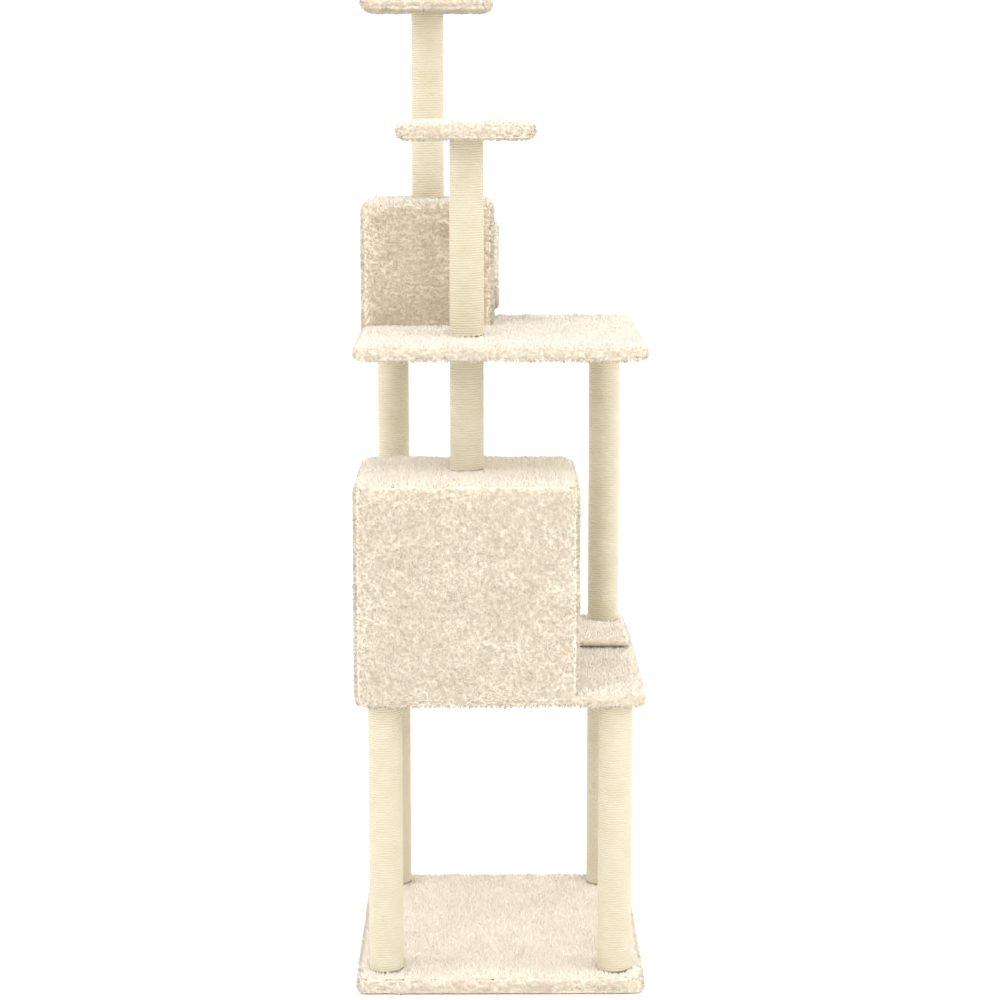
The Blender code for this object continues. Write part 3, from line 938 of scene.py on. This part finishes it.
def under_walls(points, house):
    """True for points under a house's walls, but not in the open floor within them."""
    low, high = (np.array(corner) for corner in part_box(f"{house}_cover"))
    at_foot = np.abs(points[:, 2] - low[2]) < WALL_FOOT
    within = in_box(points[:, :2], low[:2], high[:2], -WALL_LAP)
    open_floor = in_box(points[:, :2], low[:2], high[:2], -WALL)
    return at_foot & within & ~open_floor


def on_inner_wall(points, low, high):
    """True for points on the side of a cover that lies against its board or panels."""
    return in_box(points, np.array(low) - (0.0, 0.0, CUT_MARGIN), high, INNER_GAP)


# %% Pile on the boards
UNDERSIDE_SHARE = 0.25  # undersides are rarely seen, so they get fewer tufts
FACES_DOWN = -0.7
HEM_CLEAR = 0.004  # bare strip of the base's cover along the floor
HEM_FACING = -0.3  # and its turned-in edge, which faces down, stays bare too
STEP_LAP = 0.020  # how far the platform's pile runs in under the step
STEP_PILE_LENGTH = 0.0060


def pile_on_slab(name, seed, length=PILE_LENGTH, blocked=None):
    """Plants the pile on one board's backing, but not where something covers it."""
    rng = np.random.default_rng(seed)
    points, normals = planting_points(SLABS[name], PILE_DENSITY, rng)
    keep = ~under_posts(points)
    below = normals[:, 2] < FACES_DOWN
    keep &= ~below | (rng.random(len(points)) < UNDERSIDE_SHARE)
    if name == "base":
        keep &= ~on_inner_wall(points, *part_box("base_board"))
        keep &= (normals[:, 2] > HEM_FACING) & (points[:, 2] > HEM_CLEAR)
    if blocked is not None:
        keep &= ~blocked(points)
    plant_in_strips(f"pile_{name}", points[keep], normals[keep], rng, PILE_FINISH, length)


def blocked_on_lower_platform(points):
    """True under the step, apart from its edge, and under the lower house's walls."""
    low, high = (np.array(corner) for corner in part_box("step_cover"))
    under_step = in_box(points[:, :2], low[:2], high[:2], -STEP_LAP)
    under_step &= points[:, 2] > low[2] - 0.01
    return under_step | under_walls(points, "lower_house")


pile_on_slab("base", seed=1)
pile_on_slab("lower_platform", seed=2, blocked=blocked_on_lower_platform)
pile_on_slab("step", seed=3, length=STEP_PILE_LENGTH)
pile_on_slab("mid_platform", seed=4, blocked=lambda points: under_walls(points, "upper_house"))
pile_on_slab("perch", seed=5)
pile_on_slab("top_perch", seed=6)


# %% Pile on the houses
SIDE_LIMIT = 0.6  # a tuft belongs to the front or back when its normal points there this much
SIDE_FRAY = 0.12  # random spread of that limit, so that no line shows between the sides
RIM_OVERLAP = 0.005
FOOT_FACING = -0.6  # a cover's lower edge, which faces down, stays bare


def pile_on_house(house, seed, shaded_front=False):
    """Plants a house's front, back and sides as separate pieces; a shaded front gets the darker
    pile, as painted shade.
    """
    rng = np.random.default_rng(seed)
    points, normals = planting_points(HOUSES[house], PILE_DENSITY, rng)
    panels_low, panels_high = panel_box(house)
    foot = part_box(f"{house}_cover")[0][2] - TUCK
    keep = ~on_inner_wall(points, panels_low, panels_high) & ~under_posts(points)
    keep &= (points[:, 2] > foot + SLACK) & (normals[:, 2] > FOOT_FACING)
    centre, outer = doorway(house)
    from_mouth = np.linalg.norm(points[:, 1:] - np.array(centre)[1:], axis=1)
    keep &= ~((points[:, 0] > panels_high.x) & (from_mouth < outer - RIM_OVERLAP))
    points, normals = points[keep], normals[keep]
    facing = normals[:, 1] + rng.normal(size=len(points)) * SIDE_FRAY
    front = facing < -SIDE_LIMIT
    back = facing > SIDE_LIMIT
    sides = {"front": front, "back": back, "sides": ~front & ~back}
    for side, chosen in sides.items():
        # the shaded front takes the darker pile: painted shade
        finish = SHADED_PILE if shaded_front and side == "front" else PILE_FINISH
        plant_in_strips(f"pile_{house}_{side}", points[chosen], normals[chosen], rng, finish)


pile_on_house("lower_house", seed=7)
# the upper house's front is given painted shade
pile_on_house("upper_house", seed=8, shaded_front=True)


# %% Pile on the rims
RIM_DENSITY = PILE_DENSITY * 1.2
RIM_PILE = {"length": 0.006, "width": 0.0022}  # shorter and finer than on the walls
RIM_FOOT = 0.006  # part of the roll that is buried in the wall's own pile


def pile_on_rim(house, seed):
    rng = np.random.default_rng(seed)
    points, normals = planting_points(RIMS[house], RIM_DENSITY, rng)
    panel_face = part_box(f"{house}_right_panel")[1][0]
    keep = (points[:, 0] > panel_face + RIM_FOOT) & (normals[:, 0] > -0.5)
    name = f"pile_rim_{house}"
    plant_pile(name, points[keep], normals[keep], rng, PILE_FINISH, **RIM_PILE)


for number, house in enumerate(HOUSES):
    pile_on_rim(house, seed=20 + number)

# %% [markdown]
# ## Wound sisal
# Each post is wound with one long rope, turn on turn. A small flattened ring is swept up a
# screw by the Screw modifier, and its two ends are closed. The UV map is worked out from the
# order of the vertices: the sweep adds one ring of them at each step.

# %% Rope winding
ROPE_PITCH = 0.0052
ROPE_THICKNESS = 0.0042
ROPE_CRUSH = 0.64  # half a turn's height as a share of the pitch: the turns press together
ROPE_SINK = 0.0045  # how far the winding runs on into the plush at each end
ROPE_SIDES = 6
ROPE_STEPS = 18


def map_rope(mesh, radius):
    """Writes the Rope UV map: metres along the rope, and once round it."""
    corner_vertices = np.empty(len(mesh.loops), np.int32)
    mesh.loops.foreach_get("vertex_index", corner_vertices)
    step, side = np.divmod(corner_vertices, ROPE_SIDES)
    side = side.reshape(-1, 4)
    wraps = (side.max(axis=1) == ROPE_SIDES - 1) & (side.min(axis=1) == 0)
    side = np.where(wraps[:, None] & (side == 0), ROPE_SIDES, side)
    layer = mesh.uv_layers.new(name="Rope")
    along = step * (math.tau * radius / ROPE_STEPS)
    pairs = np.stack([along, side.ravel() / ROPE_SIDES], axis=1)
    layer.data.foreach_set("uv", pairs.astype(np.float32).ravel())


def wind_rope(node):
    low, high = corners_of(node)
    low.z -= ROPE_SINK
    high.z += ROPE_SINK
    height = high.z - low.z
    turns = round(height / ROPE_PITCH) - 1
    pitch = (height - ROPE_PITCH) / turns
    radius = (high.x - low.x) / 2 - ROPE_THICKNESS / 2 * math.cos(math.pi / ROPE_SIDES)
    clear_selection()
    bpy.ops.mesh.primitive_circle_add(
        vertices=ROPE_SIDES,
        radius=1.0,
        location=(radius, 0.0, low.z + pitch / 2),
        rotation=(math.pi / 2, 0.0, 0.0),
    )
    bpy.context.object.scale = (ROPE_THICKNESS / 2, pitch * ROPE_CRUSH, 1.0)
    rope = settle(bpy.context.object, node.replace("_sisal", "_rope"))
    apply_modifier(
        rope,
        "SCREW",
        axis="Z",
        angle=math.tau,
        screw_offset=pitch,
        iterations=turns,
        steps=ROPE_STEPS,
        render_steps=ROPE_STEPS,
        use_smooth_shade=True,
    )
    rope.location = ((low.x + high.x) / 2, (low.y + high.y) / 2, 0.0)
    settle(rope, rope.name)
    map_rope(rope.data, radius)
    close_ends = (bpy.ops.mesh.fill_holes, {"sides": 0})
    edit_whole(rope, close_ends, (bpy.ops.mesh.normals_make_consistent, {"inside": False}))
    finish_piece(rope, ROPE_FINISH, node)
    print(rope.name, turns, "turns,", triangles(rope), "triangles")


for post_node in POSTS:
    wind_rope(post_node)

# %% [markdown]
# ## Studio
# A pale floor, an even white surround and large soft lamps in front, at both sides and above. The
# camera stands at head height, well back, and looks slightly down.

# %% Floor
clear_selection()
bpy.ops.mesh.primitive_plane_add(size=60.0, location=(0.0, 0.0, -0.001))
floor = settle(bpy.context.object, "studio_floor")
floor_finish, _, floor_shader = new_finish("studio_white", roughness=0.9)
floor_shader.inputs["Base Color"].default_value = (0.93, 0.93, 0.93, 1.0)
floor.data.materials.append(floor_finish)

# %% Lights
world = bpy.data.worlds.new("White surround")
world.use_nodes = True
surround = world.node_tree.nodes["Background"]
surround.inputs["Color"].default_value = (1.0, 0.995, 0.985, 1.0)
surround.inputs["Strength"].default_value = 1.64
bpy.context.scene.world = world


def add_softbox(name, place, size, power):
    """A square lamp that faces the middle of the tree."""
    lamp = bpy.data.lights.new(name, "AREA")
    lamp.shape = "SQUARE"
    lamp.size = size
    lamp.energy = power
    holder = bpy.data.objects.new(name, lamp)
    holder.location = place
    holder.rotation_euler = (MIDDLE - Vector(place)).to_track_quat("-Z", "Y").to_euler()
    bpy.context.scene.collection.objects.link(holder)


MIDDLE = Vector((0.0, 0.0, 1.0))
SOFTBOXES = {  # place, size in metres, power in watts
    "front_softbox": ((0.5, -3.4, 4.4), 2.6, 26.0),
    "right_softbox": ((3.4, -1.2, 2.4), 2.0, 42.0),
    "left_softbox": ((-3.4, -1.2, 2.4), 2.0, 34.0),
    "top_softbox": ((0.2, 0.6, 4.8), 3.0, 8.0),
}
for softbox_name, softbox in SOFTBOXES.items():
    add_softbox(softbox_name, *softbox)
print("lights:", ", ".join(SOFTBOXES))

# %% Camera
CAMERA_PLACE = (-0.032, -5.293, 1.862)
CAMERA_DOWN = 0.1449  # radians below level
CAMERA_ASIDE = -0.0062
camera_data = bpy.data.cameras.new("Camera")
camera_data.lens = 89.7
camera_data.sensor_width = 36.0
camera_data.shift_y = -0.05
camera = bpy.data.objects.new("Camera", camera_data)
camera.location = CAMERA_PLACE
camera.rotation_euler = (math.pi / 2 - CAMERA_DOWN, 0.0, CAMERA_ASIDE)
bpy.context.scene.collection.objects.link(camera)
bpy.context.scene.camera = camera
bpy.context.scene.view_settings.view_transform = "Standard"
print("camera:", camera_data.lens, "mm, at", CAMERA_PLACE)
